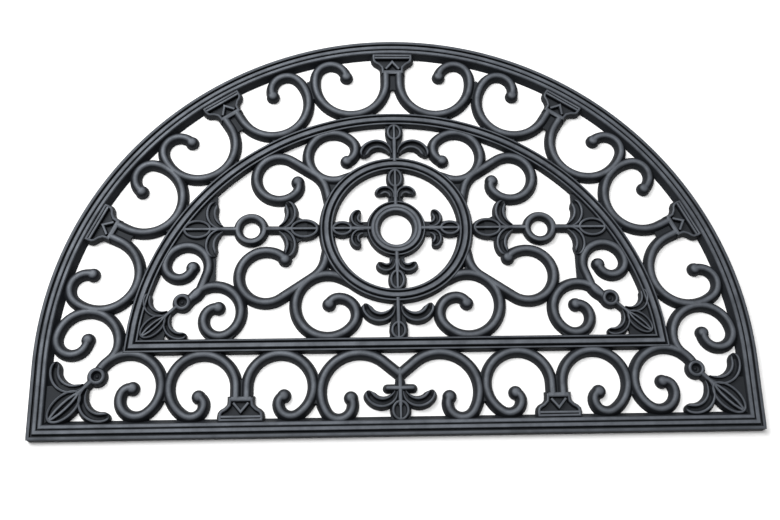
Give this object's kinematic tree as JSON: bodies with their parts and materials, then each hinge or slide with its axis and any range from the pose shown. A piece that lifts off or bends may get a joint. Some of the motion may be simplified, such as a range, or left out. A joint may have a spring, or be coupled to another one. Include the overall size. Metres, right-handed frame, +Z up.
{
  "type": "rubber doormat",
  "caption": "Half-round openwork rubber doormat moulded in a wrought-iron scroll pattern, with a ridged border; lies flat at a doorway and scrapes shoe soles.",
  "frame": {"origin": "centre of the bounding box on the floor, under the mat", "axes": "+X along the straight front edge, +Y from the straight edge towards the top of the arch, +Z up"},
  "size_m": [0.75, 0.45, 0.008],
  "materials": {
    "rubber": "moulded satin black rubber with a faint blue-grey sheen"
  },
  "bodies": {
    "root": {"mat": "rubber"}
  },
  "joints": []
}
